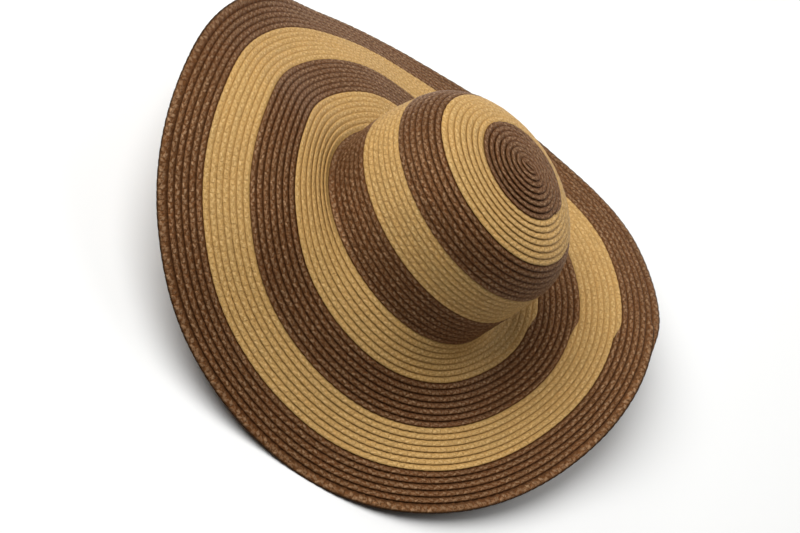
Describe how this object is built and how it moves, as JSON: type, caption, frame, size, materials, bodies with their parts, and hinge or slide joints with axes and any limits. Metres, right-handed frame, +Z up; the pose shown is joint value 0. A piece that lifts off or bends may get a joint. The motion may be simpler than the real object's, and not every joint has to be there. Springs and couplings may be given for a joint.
{
  "type": "wide-brimmed beach hat",
  "caption": "Wide-brimmed sun hat of spiral-sewn paper braid with a rounded crown, a floppy wavy brim and alternating dark brown and tan rings.",
  "frame": {"origin": "middle of the hat's box, on the surface it rests on", "axes": "+Z up; the hat stands crown up and -Y is the side nearest the picture's camera, with the lifted part of the brim at +X +Y"},
  "size_m": [0.4594, 0.4526, 0.1909],
  "materials": {
    "brown_braid": "matte paper straw with a slight sheen, dark brown",
    "tan_braid": "matte paper straw with a slight sheen, tan"
  },
  "bodies": {
    "root": {"crown_tip": "brown_braid", "crown_tan_upper": "tan_braid", "crown_brown_upper": "brown_braid", "crown_tan_lower": "tan_braid", "crown_brown_lower": "brown_braid", "brim_tan_inner": "tan_braid", "brim_brown_inner": "brown_braid", "brim_tan_outer": "tan_braid", "brim_brown_outer": "brown_braid"}
  },
  "joints": []
}
